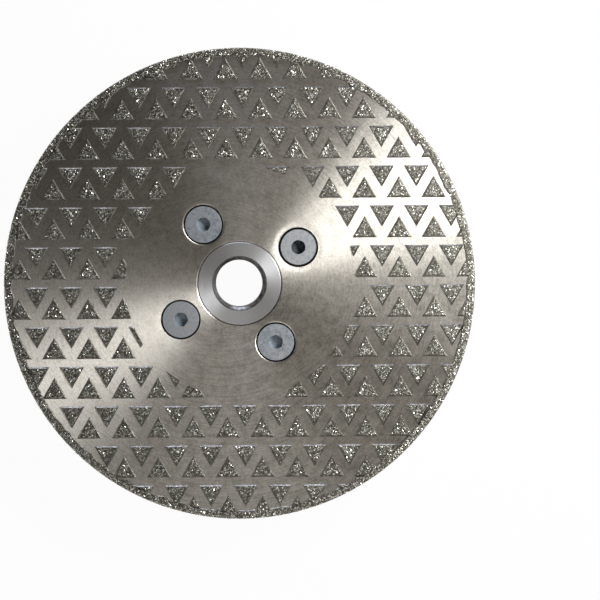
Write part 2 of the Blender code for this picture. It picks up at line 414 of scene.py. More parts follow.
# --- Finishes ----------------------------------------------------------------
@dataclass(frozen=True)
class Metal:
    """Metal whose colour and gloss follow one tone, over a relief."""

    name: str
    light_colour: str
    dark_colour: str
    roughness: float

    GLOSS_SPREAD = 0.15  # share by which the roughness falls and rises with the tone

    def end_material(
        self, tree: NodeTree, tone: NodeSocket, relief: tuple[NodeSocket, float], grain: Inputs
    ) -> None:
        """Adds the shader and the material's output.

        Args:
            tree: the material's tree.
            tone: 0 where the metal is dark and dull, 1 where it is light and glossy.
            relief: the surface's height from 0 to 1, and its real depth.
            grain: the shader's inputs for a metal with a direction.
        """
        colours = {"A_Color": linear(self.dark_colour), "B_Color": linear(self.light_colour)}
        colour = add_node(tree, "ShaderNodeMix", {"Factor_Float": tone, **colours}, data_type="RGBA")
        spread = self.roughness * self.GLOSS_SPREAD
        gloss = {"Value": tone, "To Min": self.roughness + spread, "To Max": self.roughness - spread}
        roughness = add_node(tree, "ShaderNodeMapRange", gloss)
        bump = {"Height": relief[0], "Strength": 1.0, "Distance": relief[1]}
        look = {
            "Base Color": result(colour, "Result_Color"),
            "Metallic": 1.0,
            "Roughness": roughness.outputs[0],
            "Normal": add_node(tree, "ShaderNodeBump", bump).outputs[0],
        }
        shader = add_node(tree, "ShaderNodeBsdfPrincipled", look | grain)
        add_node(tree, "ShaderNodeOutputMaterial", {"Surface": shader.outputs[0]})


@dataclass(frozen=True)
class CircularMetal(Metal):
    """Bare metal whose tool lines run in circles round the axis.

    The lines spread light across themselves only, so a lamp shows as two bright sectors
    that meet at the axis, with dull metal between them. Real tool lines are finer, and
    these are as wide as they need to be to show.
    """

    anisotropy: float
    line_width: float
    line_depth: float
    line_contrast: float
    cloud_size: float
    cloud_contrast: float
    wander: float = 2.0

    GLOSS_SPREAD = 0.12
    NOISE_SPAN = {"From Min": 0.3, "From Max": 0.7}  # what most of a noise lies between

    def build(self) -> Material:
        """Makes the material: tool lines over clouds of tone.

        Returns:
            The material.
        """
        material, tree = new_material(self.name)
        place, rings, sideways = turned_coordinates(tree, self.line_width, self.wander)
        fine = {"Vector": rings, "Scale": 1.0, "Detail": 4.0, "Roughness": 0.65}
        coarse = {"Vector": place, "Scale": 1.0 / self.cloud_size, "Detail": 5.0, "Roughness": 1.0}
        lines = add_node(tree, "ShaderNodeTexNoise", fine).outputs["Fac"]
        clouds = add_node(tree, "ShaderNodeTexNoise", coarse).outputs["Fac"]
        parts = ((lines, 0.0, self.line_contrast), (clouds, 0.5, self.cloud_contrast))
        summed = {}
        for socket, (pattern, middle, contrast) in zip(("Value", "Value_001"), parts):
            span = {"Value": pattern, "To Min": middle - contrast, "To Max": middle + contrast}
            summed[socket] = add_node(tree, "ShaderNodeMapRange", span | self.NOISE_SPAN).outputs[0]
        tone = add_node(tree, "ShaderNodeMath", summed, operation="ADD", use_clamp=True)
        grain = {"Anisotropic": self.anisotropy, "Tangent": sideways}
        self.end_material(tree, tone.outputs[0], (lines, self.line_depth), grain)
        return material


@dataclass(frozen=True)
class MottledMetal(Metal):
    """Metal with no direction: soft patches of tone over a fine pebbled relief.

    The pebbles stand for nodules, crystals or specks of a few hundredths of a millimetre.
    They are as large as they need to be to show.
    """

    patch_size: float
    pebble_size: float
    pebble_depth: float

    NOISE_SPAN = {"From Min": 0.32, "From Max": 0.68}  # what most of a noise lies between

    def build(self) -> Material:
        """Makes the material.

        Returns:
            The material.
        """
        material, tree = new_material(self.name)
        place = add_node(tree, "ShaderNodeTexCoord").outputs["Object"]
        patches = {"Vector": place, "Scale": 1.0 / self.patch_size, "Detail": 4.0, "Roughness": 0.6}
        pebbles = {"Vector": place, "Scale": 1.0 / self.pebble_size, "Detail": 2.0}
        noises = (add_node(tree, "ShaderNodeTexNoise", look) for look in (patches, pebbles))
        pattern, height = (node.outputs["Fac"] for node in noises)
        tone = add_node(tree, "ShaderNodeMapRange", {"Value": pattern, **self.NOISE_SPAN}).outputs[0]
        self.end_material(tree, tone, (height, self.pebble_depth), {})
        return material


@dataclass(frozen=True)
class DiamondFinish:
    """Synthetic diamond crystals, each with a tone of its own.

    Their flat faces catch a lamp one by one, which gives the coat its glitter.
    """

    name: str
    dark_colour: str
    middle_colour: str
    light_colour: str
    middle: float  # the tone at which the middle colour stands
    roughness: float
    metallic: float
    refraction: float
    tone_attribute: str
    facet_attribute: str

    GLOSS_SPREAD = 0.3  # share by which the roughness falls and rises with a grain's tone
    TONE_ENDS = (0.2, 0.8)  # the tones at which the dark and the light colour stand

    def build(self) -> Material:
        """Makes the material.

        Returns:
            The material.
        """
        material, tree = new_material(self.name)
        grain, facet = (
            add_node(tree, "ShaderNodeAttribute", attribute_name=name).outputs["Fac"]
            for name in (self.tone_attribute, self.facet_attribute)
        )
        halves = {"Factor_Float": 0.5, "A_Float": grain, "B_Float": facet}
        tone = result(add_node(tree, "ShaderNodeMix", halves, data_type="FLOAT"), "Result_Float")
        ramp = add_node(tree, "ShaderNodeValToRGB", {"Fac": tone})
        stops = ramp.color_ramp.elements
        stops[0].position, stops[1].position = self.TONE_ENDS
        stops[0].color = linear(self.dark_colour)
        stops[1].color = linear(self.light_colour)
        stops.new(self.middle).color = linear(self.middle_colour)
        spread = self.roughness * self.GLOSS_SPREAD
        gloss = {"Value": grain, "To Min": self.roughness + spread, "To Max": self.roughness - spread}
        roughness = add_node(tree, "ShaderNodeMapRange", gloss)
        look = {"Base Color": ramp.outputs["Color"], "Roughness": roughness.outputs[0]}
        look |= {"IOR": self.refraction, "Metallic": self.metallic}
        shader = add_node(tree, "ShaderNodeBsdfPrincipled", look)
        add_node(tree, "ShaderNodeOutputMaterial", {"Surface": shader.outputs[0]})
        return material


Finish = CircularMetal | MottledMetal | DiamondFinish

# Sheet steel, ground on a turntable. The arcs draw a lamp out into two bright sectors. On the
# real one they are about 0.05 mm apart.
GROUND_STEEL = CircularMetal(
    name="circular ground steel", light_colour="FAF5EC", dark_colour="B5B0A6", roughness=0.36,
    anisotropy=0.90, line_width=0.35 * MM, line_depth=0.004 * MM, line_contrast=0.30,
    cloud_size=3.0 * MM, cloud_contrast=0.60, wander=12.0,
)
# Bar aluminium, faced on a lathe: a pale ring with a silky sheen. The real feed lines are about
# 0.1 mm apart.
TURNED_ALUMINIUM = CircularMetal(
    name="turned aluminium", light_colour="FCFDFF", dark_colour="ECEEF2", roughness=0.33,
    anisotropy=0.74, line_width=0.25 * MM, line_depth=0.005 * MM, line_contrast=0.35,
    cloud_size=4.0 * MM, cloud_contrast=0.5,
)
# The same bar where it was only roughed: barrel and plate are greyer, with deeper lines.
SATIN_ALUMINIUM = CircularMetal(
    name="satin aluminium barrel", light_colour="C9CBCE", dark_colour="A9ACB1", roughness=0.38,
    anisotropy=0.6, line_width=0.3 * MM, line_depth=0.008 * MM, line_contrast=0.4,
    cloud_size=4.0 * MM, cloud_contrast=0.3,
)
# Electroplated nickel with no grains in it: a glossy, darker outline to each triangle.
NICKEL_SHOULDER = MottledMetal(
    name="electroplated nickel", light_colour="A9A7A1", dark_colour="64625D", roughness=0.29,
    patch_size=0.8 * MM, pebble_size=0.35 * MM, pebble_depth=0.02 * MM,
)
# Nickel that has grown up between the grains: dark hollows and light crests.
NICKEL_BED = MottledMetal(
    name="nickel bond between the grains", light_colour="A19E92", dark_colour="37362F", roughness=0.36,
    patch_size=0.5 * MM, pebble_size=0.25 * MM, pebble_depth=0.06 * MM,
)
# Cut aluminium painted grey as the shade inside the bore; its gloss glints on the thread's crests.
BORE_SHADE_THREAD = MottledMetal(
    name="aluminium thread with dried oil", light_colour="969492", dark_colour="5A5856", roughness=0.31,
    patch_size=1.2 * MM, pebble_size=0.3 * MM, pebble_depth=0.01 * MM,
)
# Steel painted dark as the shade that falls in the holes: a painted dark outline to the screws and the
# boss.
HOLE_SHADE_STEEL = MottledMetal(
    name="steel with dried cutting oil", light_colour="4C4842", dark_colour="23201C", roughness=0.55,
    patch_size=0.8 * MM, pebble_size=0.3 * MM, pebble_depth=0.01 * MM,
)
# Blue zinc plate on forged steel: pale and cool, with a faint spangle. This copy is painted lighter, for
# the two heads in the key lamp's bright sectors.
ZINC_LIT_COPY = MottledMetal(
    name="bright zinc plated steel", light_colour="FBFDFF", dark_colour="BFC8D1", roughness=0.41,
    patch_size=1.1 * MM, pebble_size=0.35 * MM, pebble_depth=0.03 * MM,
)
# The same plate, painted darker, for the two heads in the dim sectors between them.
ZINC_SHADED_COPY = MottledMetal(
    name="zinc plated steel", light_colour="EEF4FB", dark_colour="9AA3AD", roughness=0.42,
    patch_size=1.1 * MM, pebble_size=0.35 * MM, pebble_depth=0.03 * MM,
)
# The plate in a socket, painted a darker matt grey as the socket's shade.
ZINC_SOCKET_SHADE = MottledMetal(
    name="zinc plate inside the socket", light_colour="B4BEC6", dark_colour="8F99A2", roughness=0.7,
    patch_size=0.9 * MM, pebble_size=0.3 * MM, pebble_depth=0.012 * MM,
)
# A socket painted nearly black as its shade, and that head's wide chamfer with it as a painted dark ring.
BLACK_SOCKET_SHADE = MottledMetal(
    name="cutting oil inside the socket", light_colour="6F7A80", dark_colour="3E4649", roughness=0.6,
    patch_size=0.9 * MM, pebble_size=0.3 * MM, pebble_depth=0.012 * MM,
)
# Greenish grey diamond, mostly metallic because nickel clings to it: dark grains beside white ones.
DIAMOND = DiamondFinish(
    name="diamond grains", dark_colour="2A2922", middle_colour="B2AEA1", light_colour="FFFEF7",
    middle=0.55, roughness=0.36, metallic=0.85, refraction=2.4,
    tone_attribute="grain_tone", facet_attribute="facet_tone",
)


def built(finish: Finish) -> Material:
    """A finish's material, made the first time that it is asked for."""
    return bpy.data.materials.get(finish.name) or finish.build()


def dress(made: Object, *finishes: Finish) -> None:
    """Gives a piece its finishes, in the order of its faces' material numbers."""
    for finish in finishes:
        made.data.materials.append(built(finish))


# --- Flange ------------------------------------------------------------------
@dataclass
class Flange:
    """Hub turned from one bar: barrel, round plate and the boss that centres the disc."""

    plate_face: float = 18.9 * MM
    barrel_length: float = 10.7 * MM
    boss_radius: float = 11.065 * MM
    boss_relief: float = 0.06 * MM
    boss_relief_depth: float = 0.3 * MM
    boss_break: tuple[float, float] = (0.18 * MM, 0.147 * MM)  # across and down
    plate_chamfer: float = 0.6 * MM
    barrel_radius: float = 10.0 * MM
    barrel_rounding: float = 1.9 * MM
    barrel_fillet: float = 0.5 * MM
    edge_break: float = 0.08 * MM
    spindle_pitch: float = 2.0 * MM
    spindle_crest: float = 6.28 * MM
    spindle_root: float = 7.0 * MM
    mouth_radius: float = 7.25 * MM
    spindle_start: int = 56  # facet at which the thread starts
    facets: int = 144

    def __post_init__(self) -> None:
        """Takes the plate's radius and the hub's height from the frame."""
        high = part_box("flange_hub")[1]
        self.plate_radius, self.top = high.x, high.z

    def outline(self) -> Profile:
        """Works out the hub's outside.

        Returns:
            The profile, from the upper mouth of the bore to the lower one.
        """
        boss_top = self.boss_radius - self.boss_relief
        return rounded(
            [
                (self.mouth_radius, self.top, 0.0),
                (boss_top - self.boss_break[0], self.top, 0.0),
                (boss_top, self.top - self.boss_break[1], 0.0),
                (self.boss_radius, self.top - self.boss_relief_depth, 0.0),
                (self.boss_radius, self.plate_face, 0.0),
                (self.plate_radius, self.plate_face, self.edge_break),
                (self.plate_radius, self.barrel_length + self.plate_chamfer, self.edge_break),
                (self.plate_radius - self.plate_chamfer, self.barrel_length, self.edge_break),
                (self.barrel_radius, self.barrel_length, self.barrel_fillet),
                (self.barrel_radius, 0.0, self.barrel_rounding),
                (self.mouth_radius, 0.0, 0.0),
            ]
        )

    def bore_radius(self, thread_radius: float, z: float) -> float:
        """The bore: the thread, countersunk at both mouths."""
        return max(thread_radius, self.mouth_radius - min(z, self.top - z))

    def build(self, hole_cutters: Sequence[Object]) -> None:
        """Makes the hub and drills its screw holes.

        Args:
            hole_cutters: the solids of the holes.
        """
        shape = bmesh.new()
        add_turned(shape, self.outline(), self.facets)
        sizes = (self.spindle_pitch, self.spindle_crest, self.spindle_root)
        thread = Thread(*sizes, self.facets, self.spindle_start)
        thread.add_to(shape, 0.0, self.top, self.bore_radius)
        hub = new_solid("turned_flange", shape)
        carve(hub, hole_cutters)
        finishes = (TURNED_ALUMINIUM, BORE_SHADE_THREAD, SATIN_ALUMINIUM)
        _, threaded, roughed = range(len(finishes))
        for polygon in hub.data.polygons:
            if polygon.center.z < self.plate_face - WELD:
                polygon.material_index = roughed
            # The bore's thread and mouth take the darker finish: painted shade inside the bore.
            if polygon.center.xy.length < self.mouth_radius and abs(polygon.normal.z) < LEVEL:
                polygon.material_index = threaded
        dress(hub, *finishes)
        show_piece(hub, "flange_hub")


# --- Screws ------------------------------------------------------------------
@dataclass
class FlangeScrew:
    """Countersunk M5 screw with a hexagon socket, and the tapped hole that it sits in."""

    number: int
    turn: float  # degrees that it is turned by
    head: MottledMetal
    recess: MottledMetal  # painted shade inside the socket and on the head's chamfer
    dish_depth: float  # how far the disc is pulled in round this screw
    lip_depth: float  # how far the disc's lip round the countersink is worn down
    head_break: float  # chamfer on the head's edge
    socket_depth: float
    pitch: float = 0.8 * MM
    shank_radius: float = 2.5 * MM
    root_radius: float = 2.07 * MM
    head_radius: float = 4.85 * MM
    head_land: float = 0.3 * MM
    point: float = 0.6 * MM
    socket_flats: float = 3.4 * MM
    drill_allowance: float = 0.15 * MM
    drill_angle: float = math.radians(170.0)
    mouth_break: float = 0.15 * MM
    run_out: float = 0.8 * MM  # height in which a thread fades out under a cone
    hole_play: float = 0.05 * MM
    hole_break: float = 0.25 * MM
    facets: int = 72

    SOCKET_REACH = 1.3  # socket depths below the head's top that its drilled point may reach
    CHAMFER_RISE = 0.5  # a normal's Z past which a face at the head's edge is its chamfer

    def __post_init__(self) -> None:
        """Takes the screw's place and height from the frame."""
        low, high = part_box(f"flange_screw_{self.number}")
        self.place = Vector(((low.x + high.x) / 2, (low.y + high.y) / 2, 0.0))
        self.tip, self.top = low.z, high.z
        self.cone_top = self.top - self.head_land
        self.cone_bottom = self.cone_top - (self.head_radius - self.shank_radius)

    def shank(self, thread_radius: float, z: float) -> float:
        """Works out the shank, with its thread run out under the head and cut at the tip.

        Args:
            thread_radius: the thread's radius.
            z: the height.

        Returns:
            The shank's radius.
        """
        fade = min(1.0, (self.cone_bottom - z) / self.run_out)
        threaded = self.shank_radius + (thread_radius - self.shank_radius) * fade
        return min(threaded, self.shank_radius - self.point + (z - self.tip))

    def head_outline(self) -> Profile:
        """Works out the drilled recess, the head and its cone.

        Returns:
            The profile, from the middle of the recess to the shank.
        """
        drill_radius = self.socket_flats / 2 - self.drill_allowance
        floor = self.top - self.socket_depth - self.drill_allowance
        mouth_radius = self.socket_flats / 2 + self.mouth_break
        return [
            (0.0, floor - drill_radius / math.tan(self.drill_angle / 2)),
            (drill_radius, floor),
            (drill_radius, self.top - (mouth_radius - drill_radius)),
            (mouth_radius, self.top),
            (self.head_radius - self.head_break, self.top),
            (self.head_radius, self.top - self.head_break),
            (self.head_radius, self.cone_top),
            (self.shank_radius, self.cone_bottom),
        ]

    def socket_cutter(self) -> Object:
        """Makes the hexagon that a key drives.

        Returns:
            The solid to cut out of the head.
        """
        shape = bmesh.new()
        bmesh.ops.create_cone(
            shape,
            cap_ends=True,
            segments=6,
            radius1=self.socket_flats / math.sqrt(3),
            radius2=self.socket_flats / math.sqrt(3),
            depth=self.socket_depth + OVER,
            matrix=Matrix.Translation((0.0, 0.0, self.top + (OVER - self.socket_depth) / 2)),
        )
        return new_solid("socket_cutter", shape)

    def put_in_place(self, mesh: Mesh) -> None:
        """Turns a mesh made on the axis as this screw was tightened, and moves it there."""
        turned = Matrix.Rotation(math.radians(self.turn), 4, "Z")
        mesh.transform(Matrix.Translation(self.place) @ turned)

    def hole_cutter(self, sink_radius: float, face: float, back: float) -> Object:
        """Makes the tapped hole, with the countersink above it.

        Args:
            sink_radius: the countersink's radius at the disc's face.
            face: height of the disc's face.
            back: height of the plate's back.

        Returns:
            The solid to cut out of the plate.
        """
        crest = self.shank_radius + self.hole_play
        root = self.root_radius + self.hole_play
        mouth = crest + self.hole_break
        cone_bottom = face - (sink_radius - crest)

        def hole_radius(thread_radius: float, z: float) -> float:
            """Thread that opens at the plate's back and under the countersink."""
            fade = min(1.0, (cone_bottom - z) / self.run_out)
            return max(crest + (thread_radius - crest) * fade, mouth - (z - back))

        sink = [(0.0, face + OVER), (sink_radius + OVER, face + OVER), (crest, cone_bottom)]
        opening = [(mouth, back), (mouth + OVER, back - OVER), (0.0, back - OVER)]
        shape = bmesh.new()
        add_turned(shape, sink, self.facets)
        Thread(self.pitch, crest, root, self.facets).add_to(shape, back, cone_bottom, hole_radius)
        add_turned(shape, opening, self.facets)
        cutter = new_solid(f"tapped_hole_{self.number}", shape)
        self.put_in_place(cutter.data)
        return cutter

    def build(self) -> None:
        """Makes the screw."""
        shape = bmesh.new()
        add_turned(shape, self.head_outline(), self.facets)
        thread = Thread(self.pitch, self.shank_radius, self.root_radius, self.facets)
        thread.add_to(shape, self.tip, self.cone_bottom, self.shank)
        add_turned(shape, [(self.shank_radius - self.point, self.tip), (0.0, self.tip)], self.facets)
        screw = new_solid(f"socket_screw_{self.number}", shape)
        carve(screw, [self.socket_cutter()])
        corner = self.socket_flats / math.sqrt(3) + self.mouth_break
        lowest = self.top - self.SOCKET_REACH * self.socket_depth
        for polygon in screw.data.polygons:
            radius, z = polygon.center.xy.length, polygon.center.z
            on_top = polygon.normal.z > LEVEL and z > self.top - WELD
            in_socket = radius < corner and z > lowest
            at_edge = radius > self.head_radius - self.head_break and polygon.normal.z > self.CHAMFER_RISE
            # Socket faces and the head's chamfer take the recess finish: painted shade.
            polygon.material_index = int((in_socket or at_edge) and not on_top)
        self.put_in_place(screw.data)
        dress(screw, self.head, self.recess)
        show_piece(screw, f"flange_screw_{self.number}")


# --- Disc --------------------------------------------------------------------
@dataclass
class Blank:
    """Steel disc under the plating, ground in circles, with four countersinks."""

    thickness: float = 1.4 * MM
    hole_radius: float = 11.115 * MM
    sink_radius: float = 5.27 * MM
    edge_break: float = 0.12 * MM
    hole_relief: float = 0.07 * MM
    hole_relief_depth: float = 0.3 * MM
    hole_lip: tuple[float, float] = (0.25 * MM, 0.09 * MM)  # worn edge, across and down
    lip_width: float = 0.3 * MM
    dish_width: float = 1.5 * MM
    dish_steps: int = 8
    sink_wall: float = 0.3 * MM  # the countersink starts with a steep wall this deep
    sink_draft: float = 0.05 * MM
    sink_facets: int = 96
    facets: int = 256

    def __post_init__(self) -> None:
        """Takes the disc's heights and radius from the frame."""
        low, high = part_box("disc_blank")
        self.radius = high.x
        self.middle = (low.z + high.z) / 2
        self.front = self.middle + self.thickness / 2
        self.back = self.middle - self.thickness / 2

    def sink_cutter(self, screw: FlangeScrew) -> Object:
        """Makes one countersink, with its worn lip and the dish that the screw has pulled in.

        Args:
            screw: the screw that it holds.

        Returns:
            The solid to cut out of the disc.
        """
        dish_radius = self.sink_radius + self.lip_width + self.dish_width
        cone_top = self.front - self.sink_wall
        bottom = cone_top - self.thickness - OVER
        outline = [(0.0, self.front + OVER), (dish_radius, self.front + OVER)]
        for step in range(self.dish_steps + 1):
            share = step / self.dish_steps
            sink = screw.dish_depth * share**2
            outline.append((dish_radius - share * self.dish_width, self.front - sink))
        outline += [
            (self.sink_radius, self.front - screw.dish_depth - screw.lip_depth),
            (self.sink_radius - self.sink_draft, cone_top),
            (self.sink_radius - self.sink_draft - (cone_top - bottom), bottom),
            (0.0, bottom),
        ]
        shape = bmesh.new()
        add_turned(shape, outline, self.sink_facets)
        cutter = new_solid(f"sink_{screw.number}", shape)
        cutter.data.transform(Matrix.Translation(screw.place))
        return cutter

    def build(self, screws: Sequence[FlangeScrew]) -> None:
        """Makes the disc.

        Args:
            screws: the screws that it is countersunk for.
        """
        start = (self.hole_radius, self.middle, 0.0)
        relieved = self.hole_radius + self.hole_relief
        outline = rounded(
            [
                start,
                (self.hole_radius, self.front - self.hole_relief_depth, 0.0),
                (relieved, self.front - self.hole_lip[1], 0.0),
                (relieved + self.hole_lip[0], self.front, 0.0),
                (self.radius, self.front, self.edge_break),
                (self.radius, self.back, self.edge_break),
                (self.hole_radius, self.back, self.edge_break),
                start,
            ]
        )
        shape = bmesh.new()
        add_turned(shape, outline, self.facets)
        disc = new_solid("ground_disc", shape)
        carve(disc, [self.sink_cutter(screw) for screw in screws])
        for polygon in disc.data.polygons:
            centre = polygon.center
            in_sink = min((centre.xy - screw.place.xy).length for screw in screws) < self.sink_radius
            in_hole = centre.xy.length < relieved
            between = self.back < centre.z < self.front
            # Countersink and centre-hole walls take the dark steel: painted shade round the screws and the
            # boss.
            polygon.material_index = int(between and (in_sink or in_hole))
        dress(disc, GROUND_STEEL, HOLE_SHADE_STEEL)
        show_piece(disc, "disc_blank")


# --- Plating -----------------------------------------------------------------
def geometry_tree(name: str, inputs: dict[str, str]) -> tuple[NodeTree, Node]:
    """Makes a Geometry Nodes tree with named inputs.

    Args:
        name: the tree's name.
        inputs: by the input's name, the end of its socket's type. The first is the geometry.

    Returns:
        The tree and its input node.
    """
    tree = bpy.data.node_groups.new(name, "GeometryNodeTree")
    for label, kind in inputs.items():
        tree.interface.new_socket(label, in_out="INPUT", socket_type=f"NodeSocket{kind}")
    tree.interface.new_socket("Geometry", in_out="OUTPUT", socket_type="NodeSocketGeometry")
    return tree, tree.nodes.new("NodeGroupInput")


def end_tree(tree: NodeTree, geometry: NodeSocket, finish: NodeSocket) -> None:
    """Ends a tree in plain geometry with its material.

    Args:
        tree: the Geometry Nodes tree.
        geometry: what the tree has made.
        finish: the material.
    """
    real = add_node(tree, "GeometryNodeRealizeInstances", {"Geometry": geometry}).outputs[0]
    dressed = add_node(tree, "GeometryNodeSetMaterial", {"Geometry": real, "Material": finish})
    output = tree.nodes.new("NodeGroupOutput")
    tree.links.new(dressed.outputs[0], output.inputs[0])


def grow(made: Object, tree: NodeTree, inputs: Inputs) -> None:
    """Runs a tree on an object and keeps its result as a plain mesh.

    Args:
        made: the object whose mesh the tree starts from.
        tree: the Geometry Nodes tree.
        inputs: values by the names of the tree's inputs.
    """
    modifier = made.modifiers.new(tree.name, "NODES")
    modifier.node_group = tree
    identifiers = {item.name: item.identifier for item in tree.interface.items_tree}
    for label, value in inputs.items():
        modifier[identifiers[label]] = value
    bake_modifiers(made)


def mark_coated(mesh: Mesh, holds_grains: Sequence[bool]) -> None:
    """Stores on each face which half's grains it holds, or 0.

    Args:
        mesh: the mesh, with its faces' materials set.
        holds_grains: whether each face holds any.
    """
    coated = mesh.attributes.new("coated", "INT", "FACE")
    for polygon, holds in zip(mesh.polygons, holds_grains):
        half = Half.RIGHT if polygon.center.x > 0 else Half.LEFT
        coated.data[polygon.index].value = half.value if holds else 0


@dataclass
class PlatedPads:
    """Triangles of plating in rows, clipped by the bare middle and run into the rim band."""

    face: Face
    blank: Blank
    side: float = 6.6 * MM
    corner_gap: float = 2.54 * MM
    nest_offset: float = 2.76 * MM
    row_lane: float = 2.04 * MM
    shift_x: float = 1.2 * MM
    shift_y: float = -0.68 * MM
    smallest_inside: float = 1.2 * MM
    smallest_corner: float = 0.6 * MM
    bare_radius: float = 30.6 * MM
    bare_centre: tuple[float, float] = (0.37 * MM, 0.26 * MM)
    band_radius: float = 60.0 * MM
    into_band: float = 0.6 * MM
    bed_height: float = 0.36 * MM
    sunk: float = 0.1 * MM
    bare_border: float = 0.04 * MM  # strip of the flat along each slope that holds no grain
    left_out: tuple[tuple[int, int, bool], ...] = ((3, -1, False), (-1, -3, True))

    # How far the slope has come in and risen, as shares of its width and height. Nickel
    # creeps over the mask's edge, so it slopes and isn't a step.
    SHOULDER = ((0.0, 0.0), (0.45, 0.46), (1.0, 1.0))
    SHOULDER_WIDTH = 0.36 * MM
    FLAT_SHARE = 0.99  # of the bed's height, past which a face is its flat

    def places(self) -> list[tuple[float, float, bool]]:
        """Lays the triangles out: hanging ones in rows, and upright ones nested between them.

        Returns:
            (x, y, upright) of each triangle.
        """
        height = self.side * math.sqrt(3) / 2
        column_pitch = self.side + self.corner_gap
        row_pitch = self.nest_offset + height + self.row_lane
        rows = math.ceil(self.blank.radius / row_pitch) + 1
        columns = math.ceil(self.blank.radius / column_pitch) + 1
        found = []
        for row in range(-rows, rows + 1):
            top = self.shift_y + row * row_pitch
            for column in range(-columns, columns + 1):
                x = self.shift_x + column * column_pitch
                hanging = (x, top - height / 3, False)
                upright = (x + column_pitch / 2, top - self.nest_offset - height * 2 / 3, True)
                for place in (hanging, upright):
                    if (row, column, place[2]) not in self.left_out and self.reaches_ring(*place):
                        found.append(place)
        return found

    def reaches_ring(self, x: float, y: float, upright: bool) -> bool:
        """Tells whether enough of a triangle lies in the plated ring to be worth plating.

        Args:
            x: the triangle's middle, across the face.
            y: its middle, up the face.
            upright: whether it points up.

        Returns:
            True where it does.
        """
        reach = self.side / math.sqrt(3)
        first = math.pi / 2 if upright else -math.pi / 2
        turns = [first + math.tau * index / 3 for index in range(3)]
        corners = [(x + reach * math.cos(turn), y + reach * math.sin(turn)) for turn in turns]
        furthest = max(math.dist(corner, self.bare_centre) for corner in corners)
        nearest = min(math.hypot(*corner) for corner in corners)
        if furthest < self.bare_radius + self.smallest_inside:
            return False
        return nearest < self.band_radius - self.smallest_corner

    def pad(self) -> Object:
        """Makes one upright triangle about its middle, with the steel's face at z = 0.

        Returns:
            The triangle.
        """
        shape = bmesh.new()
        reach = self.side / math.sqrt(3)
        outline = [(0.0, -self.sunk), (reach, -self.sunk)]
        for inward, rise in self.SHOULDER:
            outline.append((reach - 2 * inward * self.SHOULDER_WIDTH, rise * self.bed_height))
        outline += [(self.bed_reach(), self.bed_height), (0.0, self.bed_height)]
        add_turned(shape, outline, 3)
        bmesh.ops.rotate(shape, verts=shape.verts, matrix=Matrix.Rotation(math.pi / 2, 3, "Z"))
        return new_solid("pad", shape)

    def bed_reach(self) -> float:
        """How far the corners of the grain-bearing flat stand from the pad's middle."""
        return self.side / math.sqrt(3) - 2 * (self.SHOULDER_WIDTH + self.bare_border)

    def holds_grains(self, x: float, y: float, places: np.ndarray) -> bool:
        """Tells whether a point is inside the grain-bearing flat of the nearest pad.

        Args:
            x: across the face.
            y: up the face.
            places: (x, y, upright) of each pad, as rows.

        Returns:
            True where it is.
        """
        nearest = places[np.hypot(places[:, 0] - x, places[:, 1] - y).argmin()]
        across = abs(x - nearest[0])
        up = (y - nearest[1]) * (1.0 if nearest[2] else -1.0)
        limit = self.bed_reach() / 2
        return -up < limit and across * math.sqrt(3) / 2 + up / 2 < limit

    def ring(self) -> Object:
        """Makes the ring that pads are kept in, round the bare middle's own centre.

        Returns:
            The ring.
        """
        shape = bmesh.new()
        inner, outer = self.bare_radius, self.band_radius + self.into_band
        over = 2 * OVER
        corners = [(inner, over), (outer, over), (outer, -over), (inner, -over), (inner, over)]
        add_turned(shape, corners, self.blank.facets)
        ring = new_solid("plated_ring", shape)
        ring.data.transform(Matrix.Translation((*self.bare_centre, 0.0)))
        return ring

    def tree(self) -> NodeTree:
        """Builds the tree: a pad on every point, turned by the point's angle, in the ring only.

        Returns:
            The tree.
        """
        inputs = {"Places": "Geometry", "Pad": "Object", "Ring": "Object", "Finish": "Material"}
        tree, node = geometry_tree("plated pads", inputs)
        given = node.outputs
        angle = add_node(tree, "GeometryNodeInputNamedAttribute", {"Name": "turn"}, data_type="FLOAT")
        turn = add_node(tree, "ShaderNodeCombineXYZ", {"Z": angle.outputs["Attribute"]})
        rotation = add_node(tree, "FunctionNodeEulerToRotation", {"Euler": turn.outputs[0]})
        whole = {"Object": given["Pad"], "As Instance": True}
        pad = add_node(tree, "GeometryNodeObjectInfo", whole).outputs["Geometry"]
        spread = {"Points": given["Places"], "Instance": pad, "Rotation": rotation.outputs[0]}
        placed = add_node(tree, "GeometryNodeInstanceOnPoints", spread)
        real = add_node(tree, "GeometryNodeRealizeInstances", {"Geometry": placed.outputs[0]})
        ring = add_node(tree, "GeometryNodeObjectInfo", {"Object": given["Ring"]})
        pads = {"Mesh 2": real.outputs[0]}
        clipped = add_node(tree, "GeometryNodeMeshBoolean", pads, operation="INTERSECT", solver="EXACT")
        tree.links.new(ring.outputs["Geometry"], clipped.inputs["Mesh 2"])
        end_tree(tree, clipped.outputs["Mesh"], given["Finish"])
        return tree

